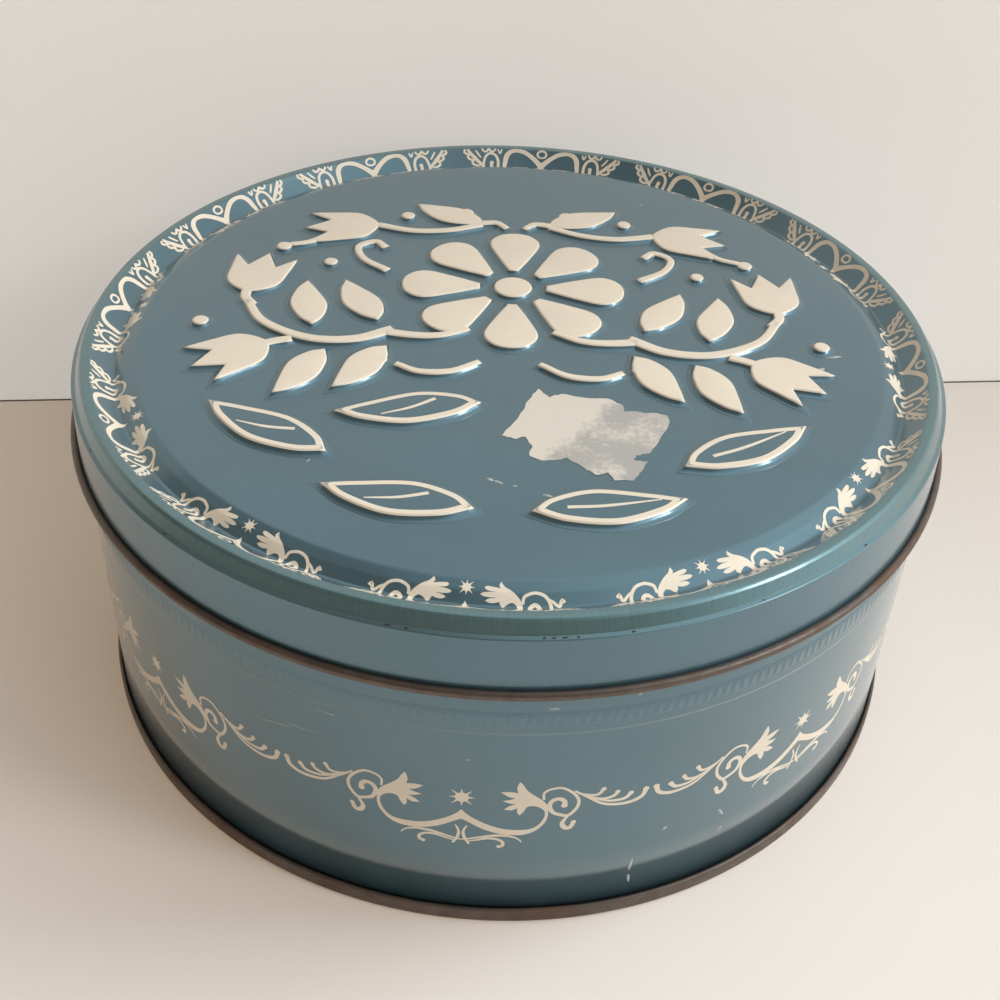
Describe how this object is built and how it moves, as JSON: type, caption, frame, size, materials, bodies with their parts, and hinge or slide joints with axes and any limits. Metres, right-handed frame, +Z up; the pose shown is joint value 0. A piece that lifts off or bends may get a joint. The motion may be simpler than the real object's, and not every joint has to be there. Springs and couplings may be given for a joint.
{
  "type": "tin box",
  "caption": "Round tinplate box with a double-seamed base, a knurled bead round the wall and a loose slip lid with a low rim, a pressed flower picture and a curled hem.",
  "frame": {"origin": "middle of the ring that the tin stands on, at the level of the table", "axes": "+Z up along the tin's axis, out through the lid; -Y towards the front of the printed wall, with the side seam to the right of the back"},
  "size_m": [0.202, 0.202, 0.0878],
  "materials": {
    "lacquered_wall": "satin metallic blue lacquer with cream print",
    "lacquered_lid": "satin metallic blue lacquer with cream print",
    "bare_steel": "bare tinplate, brown with age and rust"
  },
  "bodies": {
    "tin": {"body_wall": "lacquered_wall", "base_end": "bare_steel"},
    "lid": {"lid": "lacquered_lid"}
  },
  "joints": [
    {"name": "lid_lift", "type": "slide", "parent": "tin", "child": "lid", "axis": [0, 0, 1], "range_m": [0, 0.12]}
  ]
}
